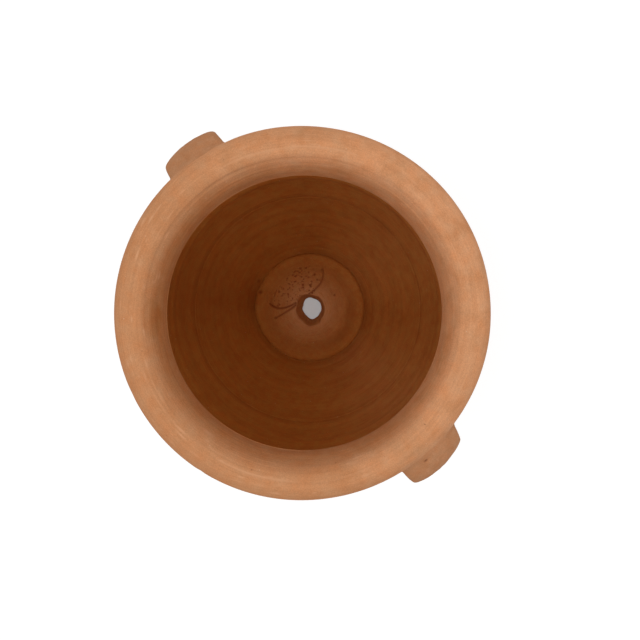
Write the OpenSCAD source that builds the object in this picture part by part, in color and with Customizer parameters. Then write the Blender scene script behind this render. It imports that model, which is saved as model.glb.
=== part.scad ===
// Terracotta planter, built up the way a section-thrown pot is: a base slab with a raised
// floor disc, two wall sections, a heavy rolled rim and two strap handles luted on.
// Millimetres, z up from the ground, the pot's axis on z, the handles about the x axis.

/* [Pot] */
// Height from the ground to the crest of the rim
pot_h = 250; // [235:1:280]
// Outer diameter of the foot
foot_d = 140; // [132:1:170]
// Outer diameter of the belly, the widest part of the wall
belly_d = 266; // [250:1:276]
// Height of the belly above the ground
belly_z = 172; // [160:1:185]
// Outer diameter of the neck, where the rim sits on the wall
neck_d = 254; // [246:1:262]
// Thickness of the wall from the belly up
wall_t = 14; // [11:0.5:17]
// Thickness of the wall just above the floor
toe_t = 16; // [13:0.5:19]

/* [Rim] */
// Outer diameter of the rolled rim
rim_d = 280; // [270:1:300]
// Width by which the rim's inner edge overhangs the wall at the mouth
lip_over = 6; // [2:0.5:10]
// Height of the rolled rim
rim_h = 38; // [30:1:44]
// Width of the roll from its crest to its widest line
roll_w = 18; // [14:0.5:22]
// Depth of the rim's widest line below its crest
rim_wide_drop = 16; // [12:1:20]
// Width of the flat ledge under the rim, outside the neck
rim_ledge = 3; // [1:0.5:5]
// Rounding of the rim's inner lower edge
lip_r = 2; // [0.8:0.1:3]

/* [Seams] */
// Height of the seam between the two wall sections
seam_z = 104; // [90:1:125]
// Width of the tongue that each seam hides inside the wall
tongue_w = 6; // [4:0.5:7]
// Height of that tongue
tongue_h = 6; // [3:0.5:9]
// Taper of each side of the tongue
tongue_draft = 1; // [0:0.25:1.5]
// Depth of the groove left inside the pot along the wall seam
seam_groove = 0.8; // [0.2:0.1:1.5]

/* [Floor] */
// Thickness of the floor at the disc
floor_t = 16; // [14:0.5:20]
// Diameter of the raised floor disc
disc_d = 115; // [100:1:118]
// Rounding of the disc's edge
disc_round = 2.5; // [1:0.5:3.5]
// Depth of the groove around the disc, below the floor
toe_groove = 3.5; // [2:0.5:5]
// Height over which the wall's inner curve turns into that groove
toe_rise = 8; // [5:0.5:12]
// Height of the slab's rebate, where the wall stands
rebate_z = 8; // [6:0.5:9]
// Diameter of the drain hole
drain_d = 25; // [18:0.5:30]
// Widening of the drain hole's upper edge, on the radius
drain_flare = 3.5; // [1:0.5:5]
// Distance by which the drain hole misses the pot's axis, towards the east handle
drain_miss = 2.5; // [0:0.5:6]

/* [Foot] */
// Depth of the hollow under the foot
foot_hollow = 1.5; // [0.5:0.5:3]
// Width of the flat ring that the pot stands on
foot_ring_w = 16; // [10:1:24]
// Bevel around the bottom edge of the foot
foot_bevel = 2; // [1:0.5:4]

/* [Throwing rings] */
// Spacing of the throwing rings inside the pot
ring_pitch = 11; // [7:0.5:16]
// Depth of the throwing rings
ring_depth = 0.6; // [0:0.1:1.2]

/* [Handles] */
// Width of the strap at its middle
strap_w = 48; // [36:1:56]
// Thickness of the strap along its middle line
strap_t = 13; // [10:0.5:16]
// Height of the crown across the strap's outer face
strap_crown = 4; // [0:0.5:6]
// Distance that the strap stands out past the rim
strap_reach = 24; // [20:1:34]
// Depth of the strap's upper root below the crest
strap_top_drop = 22; // [19:1:25]
// Depth of the strap's outermost point below the crest
strap_out_drop = 46; // [40:1:56]
// Height of the strap, from its upper root to its lower root
strap_h = 80; // [70:1:95]
// Widening of the strap at its upper root, each side
top_flare = 4; // [0:0.5:6]
// Widening of the strap at its lower root, each side
low_flare = 7; // [0:0.5:10]
// Thickening of the strap at both roots
root_swell = 5; // [0:0.5:8]
// Angle by which the two handles miss being opposite
handle_skew = 7; // [0:1:14]

/* [Hidden] */
$fn = 180;

clay = [0.76, 0.53, 0.37];
clay_inside = [0.62, 0.38, 0.24];

foot_r = foot_d / 2;
belly_r = belly_d / 2;
neck_r = neck_d / 2;
rim_r = rim_d / 2;
mouth_r = neck_r - wall_t - lip_over;
disc_r = disc_d / 2;
drain_r = drain_d / 2;

neck_z = pot_h - rim_h;
wide_z = pot_h - rim_wide_drop;
crest_r = rim_r - roll_w;
groove_z = floor_t - toe_groove;
ring_in_r = foot_r - foot_bevel - foot_ring_w;

profile_step = 4;
ripple_step = ring_pitch / 5;

// Outer radius of the wall: a quarter sine from the foot to the belly, then in to the neck.
function outer_r(z) =
    z <= belly_z
    ? foot_r + (belly_r - foot_r) * sin(90 * z / belly_z)
    : belly_r - (belly_r - neck_r) * (1 - cos(90 * (z - belly_z) / (neck_z - belly_z)));

// Thickness of the wall, falling evenly from the toe to the belly.
function thickness(z) =
    wall_t + (toe_t - wall_t) * max(0, min(1, (belly_z - z) / (belly_z - floor_t)));

// Throwing rings, as fingers leave them: soft hollows that die out at the floor, seam and neck.
function ripple(z) =
    ring_depth * pow(sin(180 * (z - floor_t) / ring_pitch), 2)
    * max(0, min(1, (z - floor_t) / ring_pitch))
    * min(1, abs(z - seam_z) / ring_pitch)
    * min(1, (neck_z - z) / ring_pitch);

// Inner radius of the wall, which turns in to the floor disc at the toe.
function inner_r(z) =
    let (
        open = max(disc_r, outer_r(z) - thickness(z) + ripple(z)),
        turn = max(0, min(1, (z - groove_z) / toe_rise))
    )
    disc_r + (open - disc_r) * sqrt(turn);

// Heights from a to b in even steps no longer than step.
function heights(a, b, step) =
    let (n = max(1, ceil(abs(b - a) / step)))
    [for (i = [0:n]) a + (b - a) * i / n];

function outer_curve(a, b) = [for (z = heights(a, b, profile_step)) [outer_r(z), z]];
function inner_curve(a, b) = [for (z = heights(a, b, ripple_step)) [inner_r(z), z]];

// A stretch of an ellipse in n steps, by its centre, half axes and end angles.
function arc(c, rx, rz, a, b, n) =
    [for (i = [0:n]) let (t = a + (b - a) * i / n) [c[0] + rx * cos(t), c[1] + rz * sin(t)]];

function reversed(list) = [for (i = [len(list) - 1:-1:0]) list[i]];

// The tongue that stands on a wall's top edge at height z, from its outer to its inner side.
function tongue(z) =
    let (mid = outer_r(z) - thickness(z) / 2, half = tongue_w / 2, top = half - tongue_draft)
    [[mid + half, z], [mid + top, z + tongue_h], [mid - top, z + tongue_h], [mid - half, z]];

// Foot: the ring that the pot stands on, with a shallow hollow inside it and a bevel outside.
function foot_outline() = [
    [0, foot_hollow],
    [ring_in_r, foot_hollow],
    [ring_in_r + foot_hollow, 0],
    [foot_r - foot_bevel, 0]
];

// Base slab: a disc the wall stands on, raised in the middle as the floor, with the drain hole.
module base_slab() {
    color(clay_inside)
    difference() {
        rotate_extrude()
        polygon(concat(
            foot_outline(),
            outer_curve(foot_bevel, rebate_z),
            [[disc_r, rebate_z]],
            arc([disc_r - disc_round, floor_t - disc_round], disc_round, disc_round, 0, 90, 6),
            [[0, floor_t]]
        ));
        translate([drain_miss, 0, 0]) drain_cut();
    }
}

// Drain hole: a straight bore with its upper edge rounded over.
module drain_cut() {
    flare_r = drain_r + drain_flare;
    flare_z = floor_t - drain_flare;
    translate([0, 0, -1]) cylinder(r = drain_r, h = floor_t + 2);
    rotate_extrude()
    polygon(concat(
        [[0, flare_z]],
        arc([flare_r, flare_z], drain_flare, drain_flare, 180, 90, 8),
        [[flare_r, floor_t + 1], [0, floor_t + 1]]
    ));
}

// Lower wall section: stands on the slab's rebate, with a tongue along its top edge.
module lower_wall() {
    color(clay)
    rotate_extrude()
    polygon(concat(
        [[disc_r, rebate_z]],
        outer_curve(rebate_z, seam_z),
        tongue(seam_z),
        [[inner_r(seam_z) + seam_groove, seam_z]],
        inner_curve(seam_z - seam_groove, groove_z)
    ));
}

// Upper wall section: seats over the lower tongue and carries a tongue of its own for the rim.
module upper_wall() {
    color(clay)
    rotate_extrude()
    polygon(concat(
        outer_curve(seam_z, neck_z),
        tongue(neck_z),
        inner_curve(neck_z, seam_z + seam_groove),
        [[inner_r(seam_z) + seam_groove, seam_z]],
        reversed(tongue(seam_z))
    ));
}

// Outside of the rolled rim, from the ledge at the neck, round the widest line, to the crest.
function rim_outside() =
    let (foot = neck_r + rim_ledge)
    concat(
        arc([foot, wide_z], rim_r - foot, wide_z - neck_z, -90, 0, 14),
        arc([crest_r, wide_z], roll_w, rim_wide_drop, 0, 90, 14)
    );

// Inside of the rim, from the crest down a long curve to the lip that overhangs the wall.
function rim_inside() =
    let (lip_z = neck_z + lip_r)
    concat(
        arc([crest_r, lip_z], crest_r - mouth_r, pot_h - lip_z, 90, 180, 24),
        arc([mouth_r + lip_r, lip_z], lip_r, lip_r, 180, 270, 5)
    );

// Rolled rim: a heavy roll of clay, grooved over the wall's tongue.
module rolled_rim() {
    color(clay)
    rotate_extrude()
    polygon(concat(rim_outside(), rim_inside(), reversed(tongue(neck_z))));
}

// All that lies inside the pot's outer surface: the handles are cut back to it.
module pot_bulk() {
    rotate_extrude()
    polygon(concat([[0, foot_bevel]], outer_curve(foot_bevel, neck_z), rim_outside(), [[0, pot_h]]));
}

// How deep the strap's middle starts inside the rim and inside the wall, before it is cut back.
rim_root_depth = 12;
wall_root_depth = 6;

top_stations = 14;
low_stations = 20;
section_points = 28;
section_power = 4;

edge_t = strap_t - strap_crown;
strap_top_z = pot_h - strap_top_drop;
strap_out_z = pot_h - strap_out_drop;
strap_low_z = strap_top_z - strap_h;
strap_top_r = rim_r - rim_root_depth;
strap_low_r = outer_r(strap_low_z) - wall_root_depth;
strap_out_r = rim_r + strap_reach - edge_t / 2 - strap_crown;

// Strap's path in its own upright plane, midway between its edges: a quarter ellipse out of
// the rim to the outermost point, and one from there in to the wall.
top_path = arc([strap_top_r, strap_out_z], strap_out_r - strap_top_r, strap_top_z - strap_out_z,
    90, 0, top_stations);
low_path = arc([strap_low_r, strap_out_z], strap_out_r - strap_low_r, strap_out_z - strap_low_z,
    0, -90, low_stations);
strap_path = concat(top_path, [for (i = [1:low_stations]) low_path[i]]);
strap_last = len(strap_path) - 1;

// Outward normal of the path at station i, from the chord between its neighbours.
function path_normal(i) =
    let (way = strap_path[min(strap_last, i + 1)] - strap_path[max(0, i - 1)])
    [-way[1], way[0]] / norm(way);

// How near station i is to each root: 1 at the root, 0 at the strap's outermost point.
function near_top(i) = max(0, 1 - i / top_stations);
function near_low(i) = max(0, (i - top_stations) / low_stations);

function half_width(i) =
    strap_w / 2 + top_flare * pow(near_top(i), 2) + low_flare * pow(near_low(i), 3);
function half_thickness(i) =
    edge_t / 2 + root_swell / 2 * (pow(near_top(i), 3) + pow(near_low(i), 3));

function squared(x) = sign(x) * pow(abs(x), 2 / section_power);

// Section of the strap at station i: a squared oval with a crown raised on its outer face.
function strap_section(i) =
    let (p = strap_path[i], normal = path_normal(i))
    [for (k = [0:section_points - 1])
        let (
            a = 360 * k / section_points,
            side = squared(cos(a)),
            face = squared(sin(a)),
            off = half_thickness(i) * face + strap_crown * (1 - side * side) * (1 + face) / 2
        )
        [p[0] + normal[0] * off, half_width(i) * side, p[1] + normal[1] * off]];

// Strap: its sections joined into one closed skin, ends included.
module strap() {
    n = section_points;
    last = strap_last * n;
    points = [for (i = [0:strap_last]) each strap_section(i)];
    sides = [for (i = [0:strap_last - 1], k = [0:n - 1])
        let (j = (k + 1) % n, a = i * n, b = a + n)
        each [[a + k, b + j, b + k], [a + k, a + j, b + j]]];
    top_cap = [for (k = [1:n - 2]) [0, k + 1, k]];
    low_cap = [for (k = [1:n - 2]) [last, last + k, last + k + 1]];
    polyhedron(points = points, faces = concat(sides, top_cap, low_cap));
}

// Strap handle: one pulled strap, seated on the rim and the wall that carry it.
module handle(angle) {
    color(clay)
    difference() {
        rotate([0, 0, angle]) strap();
        pot_bulk();
    }
}

module handle_east() {
    handle(handle_skew / 2);
}

module handle_west() {
    handle(180 - handle_skew / 2);
}

base_slab();
lower_wall();
upper_wall();
rolled_rim();
handle_east();
handle_west();
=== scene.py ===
# Looks of a round, hand-thrown terracotta planter with a rolled rim and two strap handles.
# Shapes are worked out in millimetres, piece by piece, and put_skin() turns them into metres.
import math

import bpy
import numpy as np
from mathutils import Matrix, Vector


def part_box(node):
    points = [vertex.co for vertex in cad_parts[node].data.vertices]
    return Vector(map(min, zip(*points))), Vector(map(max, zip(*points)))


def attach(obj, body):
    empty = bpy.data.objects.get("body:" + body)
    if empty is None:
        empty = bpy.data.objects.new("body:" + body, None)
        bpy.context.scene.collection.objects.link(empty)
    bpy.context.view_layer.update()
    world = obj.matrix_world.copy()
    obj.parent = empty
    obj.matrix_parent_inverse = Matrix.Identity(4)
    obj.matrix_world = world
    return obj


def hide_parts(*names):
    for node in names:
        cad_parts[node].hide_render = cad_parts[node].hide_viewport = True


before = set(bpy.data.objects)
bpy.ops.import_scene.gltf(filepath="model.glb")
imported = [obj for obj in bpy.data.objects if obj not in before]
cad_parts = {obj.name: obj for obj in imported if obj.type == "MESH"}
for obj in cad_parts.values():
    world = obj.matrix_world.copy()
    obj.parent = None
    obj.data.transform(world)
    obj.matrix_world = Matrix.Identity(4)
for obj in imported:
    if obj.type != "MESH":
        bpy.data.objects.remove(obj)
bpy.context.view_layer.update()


# Base slab: the disc of clay on which the pot was thrown, now its floor and foot. Its middle is
# raised, a drain hole is cut through it by hand, and a wire cut its underside off the wheel.

MM = 0.001
TAU = 2 * np.pi


def face_of(node, corner, axis):
    """One face of a CAD node's box in millimetres: corner 0 is the lowest one, 1 the highest."""
    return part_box(node)[corner][axis] / MM


pot_h = face_of("rolled_rim", 1, 2)
neck_z = face_of("rolled_rim", 0, 2)
seam_z = face_of("upper_wall", 0, 2)
rebate_z = face_of("lower_wall", 0, 2)
floor_z = face_of("base_slab", 1, 2)
belly_r = face_of("upper_wall", 1, 1)
belly_z = 172
neck_r = 127
foot_r = 70

foot_bevel = 2
foot_hollow = 1.5
ring_in_r = 52
disc_r = 58.5
shoulder_w = 3.5
shoulder_h = 2.4
hole_low_r = 10.75
hole_top_r = 16.0
hole_round = 1.0
hole_low_middle = (1.8, 1.0)
hole_top_middle = (2.1, -1.2)
hole_lobes = ((2, 157, 0.075), (3, 70, 0.03), (4, 70, 0.02), (5, 31, 0.025))
hole_blends_out_r = 34
drift_sides = ((-128.5, 0.35, 1.7), (20, 0.6, 0.7))


def outer_radius(z):
    """Outside of the pot at height z: a quarter sine out to the belly, a quarter cosine in."""
    swell = np.sin(0.5 * np.pi * np.clip(z / belly_z, 0, 1))
    draw = 1 - np.cos(0.5 * np.pi * np.clip((z - belly_z) / (neck_z - belly_z), 0, 1))
    return foot_r + (belly_r - foot_r) * swell - (belly_r - neck_r) * draw


def smooth(x):
    """0 below 0, 1 above 1, and an even S between them."""
    x = np.clip(x, 0, 1)
    return x * x * (3 - 2 * x)


def line(start, end):
    """Straight stretch of a profile."""
    return np.array([start, end], float)


def outside(low, high):
    """Stretch of the pot's outside between two heights."""
    z = np.linspace(low, high, 200)
    return np.stack([outer_radius(z), z], 1)


def arc(middle, half_r, half_z, start, end, power=2):
    """Stretch of an oval about its middle, between two angles in degrees. Its two coordinates over
    their half sizes, each raised to power, add up to 1: an ellipse at 2 and squarer above."""
    turn = np.radians(np.linspace(start, end, 80))
    out = np.sign(np.cos(turn)) * np.abs(np.cos(turn)) ** (2 / power)
    up = np.sign(np.sin(turn)) * np.abs(np.sin(turn)) ** (2 / power)
    return np.stack([middle[0] + half_r * out, middle[1] + half_z * up], 1)


def walk(stretches):
    """Stations along a closed profile, from pairs of a stretch and a step: each stretch is walked
    evenly and its ends are kept. Gives radius, height, number of the stretch, and the distance
    along the surface to that stretch's nearer end."""
    rows = []
    for number, (points, step) in enumerate(stretches):
        gone = np.concatenate([[0], np.cumsum(np.hypot(*np.diff(points, axis=0).T))])
        here = np.linspace(0, gone[-1], max(2, math.ceil(gone[-1] / step) + 1))[:-1]
        r = np.interp(here, gone, points[:, 0])
        z = np.interp(here, gone, points[:, 1])
        rows.append(np.stack([r, z, np.full_like(here, number), np.minimum(here, gone[-1] - here)]))
    return np.concatenate(rows, axis=1)[..., None]


def round_the_wheel(count):
    """Angles of the points of one ring."""
    return TAU * np.arange(count) / count


def uneven(shape, rows, columns, seed):
    """Smooth random field over a grid that closes both ways, with a spread of 1: white noise
    whose spectrum fades as a Gaussian, so that its bumps are about rows by columns steps wide."""
    white = np.random.default_rng(seed).standard_normal(shape)
    up = np.fft.fftfreq(shape[0])[:, None] * rows
    along = np.fft.rfftfreq(shape[1])[None, :] * columns
    field = np.fft.irfft2(np.fft.rfft2(white) * np.exp(-3.5 * (up ** 2 + along ** 2)), s=shape)
    return field / field.std()


def groove(distance, width, depth):
    """Depth of a round-bottomed groove at a distance from its middle line: a Gaussian."""
    return depth * np.exp(-(distance / width) ** 2)


def stroke_distance(x, y, start, bend, end):
    """Distance from points to a curved stroke, a parabola from start to end pulled to bend."""
    t = np.linspace(0, 1, 24)[:, None, None]
    path = [(1 - t) ** 2 * a + 2 * t * (1 - t) * b + t ** 2 * c
            for a, b, c in zip(start, bend, end)]
    return np.hypot(x - path[0], y - path[1]).min(axis=0)


def bump_at(angle, middle, half_width):
    """1 at an angle round the wheel, falling off as a Gaussian on both sides."""
    return np.exp(-(np.angle(np.exp(1j * (angle - math.radians(middle)))) / half_width) ** 2)


def bumps_at(angle, sides):
    """Sum of such bumps, from each one's middle, half width and height."""
    return sum(height * bump_at(angle, middle, half) for middle, half, height in sides)


def toe_drift(angle, r):
    """How far the edge of the floor and the wall's toe beside it were thrown out of round, as far
    outwards as two Gaussians round the wheel say, fading within 7 mm of the edge."""
    return bumps_at(angle, drift_sides) * groove(r - disc_r - 1, 7, 1)


def put_skin(name, grid, node, material, masks, wraps=True):
    """Mesh over a grid of rings, each a closed loop of points. The last ring joins the first, or else
    both end rings are closed by a fan of triangles. masks gives the piece's own attributes, 0 to 1 at
    each point of the grid: where it lines the pot and takes the lining's tone, which is partly
    painted shade, and where it is dark or pale, by real marks and by painted shade and painted light."""
    rings, around = grid.shape[:2]
    points = grid.reshape(-1, 3)
    low = np.arange(rings)[:, None] * around
    high = np.roll(low, -1, axis=0)
    if not wraps:
        low, high = low[:-1], high[:-1]
    left = np.arange(around)
    right = np.roll(left, -1)
    quads = np.stack([low + left, low + right, high + right, high + left], -1).reshape(-1, 4)
    faces = quads.tolist()
    if not wraps:
        last = (rings - 1) * around
        points = np.concatenate([points, [grid[0].mean(0), grid[-1].mean(0)]])
        hubs = np.full(around, rings * around)
        faces += np.stack([hubs, right, left], -1).tolist()
        faces += np.stack([hubs + 1, last + left, last + right], -1).tolist()
    mesh = bpy.data.meshes.new(name)
    mesh.from_pydata((points * MM).tolist(), [], faces)
    mesh.shade_smooth()
    mesh.set_sharp_from_angle(angle=math.radians(42))
    for mask, share in masks.items():
        values = np.zeros(len(points))
        values[:rings * around] = np.clip(np.broadcast_to(share, (rings, around)), 0, 1).ravel()
        mesh.attributes.new(mask, "FLOAT", "POINT").data.foreach_set("value", values)
    mesh.materials.append(material)
    piece = bpy.data.objects.new(name, mesh)
    bpy.context.scene.collection.objects.link(piece)
    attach(piece, "root")
    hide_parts(node)


def put(tree, kind, inputs=(), **settings):
    """One shader node: its settings, then its inputs, each a value or the socket that feeds it.
    A colour is three numbers and is made opaque."""
    made = tree.nodes.new("ShaderNode" + kind)
    for name, value in settings.items():
        setattr(made, name, value)
    for name, value in dict(inputs).items():
        socket = made.inputs[name]
        if isinstance(value, bpy.types.NodeSocket):
            tree.links.new(value, socket)
        else:
            socket.default_value = (*value, 1) if socket.type == "RGBA" else value
    return made


def sum_up(tree, operation, first, second, third=0.0):
    """Result of one step of arithmetic between two or three numbers or sockets."""
    return put(tree, "Math", {0: first, 1: second, 2: third}, operation=operation).outputs[0]


def between(tree, value, low, high, to_low=0.0, to_high=1.0):
    """value as its place between low and high, eased, on a scale from to_low to to_high."""
    limits = {"Value": value, "From Min": low, "From Max": high,
              "To Min": to_low, "To Max": to_high}
    return put(tree, "MapRange", limits, interpolation_type="SMOOTHSTEP").outputs["Result"]


def blend_colour(tree, share, first, second):
    """Colour that goes from first to second as share goes from 0 to 1."""
    return put(tree, "Mix", {0: share, 6: first, 7: second}, data_type="RGBA").outputs[2]


def scaled(tree, vector, factor):
    """Colour or place times one number."""
    return put(tree, "VectorMath", {0: vector, "Scale": factor}, operation="SCALE").outputs[0]


def own_mask(tree, name):
    """One of the masks that put_skin() gives the piece, as a number."""
    return put(tree, "Attribute", attribute_name=name).outputs["Fac"]


def new_group(name, takes, gives):
    """Empty shader node group. takes gives each input's name and first value, gives each output's
    name and kind. Returns the tree, the sockets that come in and those that go out."""
    tree = bpy.data.node_groups.new(name, "ShaderNodeTree")
    for socket, value in takes.items():
        kind = "NodeSocketColor" if isinstance(value, tuple) else "NodeSocketFloat"
        made = tree.interface.new_socket(name=socket, in_out="INPUT", socket_type=kind)
        made.default_value = (*value, 1) if isinstance(value, tuple) else value
    for socket, kind in gives.items():
        tree.interface.new_socket(name=socket, in_out="OUTPUT", socket_type="NodeSocket" + kind)
    return tree, tree.nodes.new("NodeGroupInput").outputs, tree.nodes.new("NodeGroupOutput").inputs


def use_group(tree, group, values=()):
    """Outputs of a node that holds a group, with this material's own values."""
    return put(tree, "Group", values, node_tree=group).outputs


def wheel_streaks():
    """Streaks that the wheel leaves: noise that is fine across the surface and long round the
    axis. Its four coordinates are a point on a circle, the radius and the height, so it closes."""
    tree, takes, gives = new_group(
        "Wheel Streaks", {"Width": 1.0, "Turns": 1.5, "Seed": 0.0}, {"Streak": "Float"})
    place = put(tree, "TexCoord").outputs["Object"]
    apart = put(tree, "SeparateXYZ", {0: place}).outputs
    flat = put(tree, "CombineXYZ", {0: apart[0], 1: apart[1]}).outputs[0]
    radius = put(tree, "VectorMath", {0: flat}, operation="LENGTH").outputs["Value"]
    way = put(tree, "VectorMath", {0: flat}, operation="NORMALIZE").outputs[0]
    on_circle = put(tree, "SeparateXYZ", {0: scaled(tree, way, takes["Turns"])}).outputs
    per_mm = sum_up(tree, "DIVIDE", 1 / MM, takes["Width"])
    out = sum_up(tree, "MULTIPLY", radius, per_mm)
    up = sum_up(tree, "MULTIPLY_ADD", apart[2], per_mm, takes["Seed"])
    sample = put(tree, "CombineXYZ", {0: on_circle[0], 1: on_circle[1], 2: out}).outputs[0]
    noise = put(tree, "TexNoise", {"Vector": sample, "W": up, "Scale": 1.0, "Detail": 3.0,
                                   "Roughness": 0.55}, noise_dimensions="4D")
    tree.links.new(noise.outputs["Fac"], gives["Streak"])
    return tree


def flame_and_light_side():
    """Which side of the pot is paler: a soft slope across the pot, broken up by broad noise, from 0
    on the darker side to 1 on the paler side. It is partly the kiln's flame and partly painted light,
    the side towards the light made paler."""
    tree, takes, gives = new_group(
        "Flame And Light Side", {"Toward X": 0.1, "Toward Y": 0.99, "Breakup": 0.5}, {"Flame": "Float"})
    place = put(tree, "TexCoord").outputs["Object"]
    toward = put(tree, "CombineXYZ", {0: takes["Toward X"], 1: takes["Toward Y"]}).outputs[0]
    slope = put(tree, "VectorMath", {0: place, 1: toward}, operation="DOT_PRODUCT").outputs["Value"]
    noise = put(tree, "TexNoise", {"Vector": place, "Scale": 11.0, "Detail": 2.0}).outputs["Fac"]
    drift = sum_up(tree, "MULTIPLY", sum_up(tree, "SUBTRACT", noise, 0.5), takes["Breakup"])
    leaning = sum_up(tree, "MULTIPLY_ADD", slope, 3.4, 0.5)
    tree.links.new(sum_up(tree, "ADD", leaning, drift), gives["Flame"])
    return tree


def clay_body():
    """Fired clay as it lies under all other marks: three tones of one clay in soft patches, each
    tinged a little pinker or yellower by a third noise as far as Tint says, with fine sand in it.
    Height is the sand's, from 0 to 1."""
    tree, takes, gives = new_group(
        "Clay Body",
        {"Clay": (0.56, 0.25, 0.12), "Pale": (0.62, 0.3, 0.15), "Deep": (0.46, 0.19, 0.08),
         "Patch": 14.0, "Flame": 0.5, "Sand": 0.9, "Tint": 1.0},
        {"Color": "Color", "Height": "Float"})
    place = put(tree, "TexCoord").outputs["Object"]
    patch = sum_up(tree, "DIVIDE", 1 / MM, takes["Patch"])
    broad = put(tree, "TexNoise", {"Vector": place, "Scale": patch, "Detail": 4.0,
                                   "Roughness": 0.6, "Distortion": 0.4}).outputs["Fac"]
    other = put(tree, "Mapping", {"Vector": place, "Location": (0.31, 0.17, 0.53)}).outputs[0]
    half = sum_up(tree, "MULTIPLY", patch, 0.55)
    slow = put(tree, "TexNoise", {"Vector": other, "Scale": half, "Detail": 3.0,
                                  "Roughness": 0.55}).outputs["Fac"]
    # Flame makes one side paler: partly the kiln's flame, partly painted light on the lit side.
    flame = sum_up(tree, "MULTIPLY_ADD", takes["Flame"], 0.7, sum_up(tree, "MULTIPLY", slow, 0.6))
    warm = blend_colour(tree, between(tree, flame, 0.45, 1.05), takes["Clay"], takes["Pale"])
    dim = between(tree, broad, 0.42, 0.72, 0.0, 0.5)
    toned = blend_colour(tree, dim, warm, takes["Deep"])
    third = put(tree, "Mapping", {"Vector": place, "Location": (0.71, 0.43, 0.09)}).outputs[0]
    small = sum_up(tree, "MULTIPLY", patch, 1.7)
    hue = put(tree, "TexNoise", {"Vector": third, "Scale": small, "Detail": 2.0}).outputs["Fac"]
    off = sum_up(tree, "MULTIPLY", sum_up(tree, "SUBTRACT", hue, 0.5), takes["Tint"])
    side = sum_up(tree, "MULTIPLY_ADD", off, 2.2, 0.5)
    tinge = blend_colour(tree, side, (1.0, 0.93, 0.86), (1.0, 1.07, 1.14))
    toned = put(tree, "VectorMath", {0: toned, 1: tinge}, operation="MULTIPLY").outputs[0]
    fine = sum_up(tree, "DIVIDE", 1 / MM, takes["Sand"])
    sand = put(tree, "TexNoise", {"Vector": place, "Scale": fine, "Detail": 3.0,
                                  "Roughness": 0.65}).outputs["Fac"]
    bright = between(tree, sand, 0.25, 0.75, 0.88, 1.12)
    tree.links.new(scaled(tree, toned, bright), gives["Color"])
    tree.links.new(sand, gives["Height"])
    return tree


def grit():
    """Grains and pits in the clay: rounded cells of which only a share is used, chosen by each
    cell's own random number. Spacing and Size are in millimetres."""
    tree, takes, gives = new_group(
        "Grit", {"Spacing": 5.0, "Size": 0.5, "Share": 0.3, "Seed": 0.0}, {"Spots": "Float"})
    place = put(tree, "TexCoord").outputs["Object"]
    seed = takes["Seed"]
    shift = put(tree, "CombineXYZ", {0: seed, 1: seed, 2: seed}).outputs[0]
    moved = put(tree, "VectorMath", {0: place, 1: shift}, operation="ADD").outputs[0]
    cells = sum_up(tree, "DIVIDE", 1 / MM, takes["Spacing"])
    cell = put(tree, "TexVoronoi", {"Vector": moved, "Scale": cells}).outputs
    away = sum_up(tree, "MULTIPLY", cell["Distance"], takes["Spacing"])
    chosen = put(tree, "SeparateColor", {0: cell["Color"]}).outputs
    grown = sum_up(tree, "MULTIPLY", takes["Size"], sum_up(tree, "ADD", chosen[1], 0.4))
    core = sum_up(tree, "MULTIPLY", grown, 0.4)
    grain = between(tree, away, core, grown, 1.0, 0.0)
    kept = sum_up(tree, "LESS_THAN", chosen[0], takes["Share"])
    tree.links.new(sum_up(tree, "MULTIPLY", grain, kept), gives["Spots"])
    return tree


wheel_streaks_group = wheel_streaks()
flame_and_light_side_group = flame_and_light_side()
clay_body_group = clay_body()
grit_group = grit()

outer_clay = (0.549, 0.2435, 0.106)
outer_pale = (0.685, 0.316, 0.15)
outer_deep = (0.49, 0.208, 0.083)
# The lining's tones are the clay made darker and redder: partly painted shade, standing in for the
# shade deep inside the pot.
shaded_inner_clay = (0.425, 0.131, 0.0158)
shaded_inner_pale = (0.475, 0.163, 0.028)
shaded_inner_deep = (0.355, 0.1, 0.0095)
lime = (0.78, 0.58, 0.42)
pitted = (0.2, 0.07, 0.025)
shadowed = (0.09, 0.028, 0.008)
# Dark tone of the lining: of real strokes, pits and slip, and of painted shade at the toe, in the
# floor's channel and on the lining's darker sides.
inner_shade_and_stain = (0.2, 0.036, 0.001)
# Pale tone: of real wear and rubbing, and of painted light on the floor's middle and on the lining's
# lit sides.
pale_wear_and_light = (0.68, 0.34, 0.175)


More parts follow.
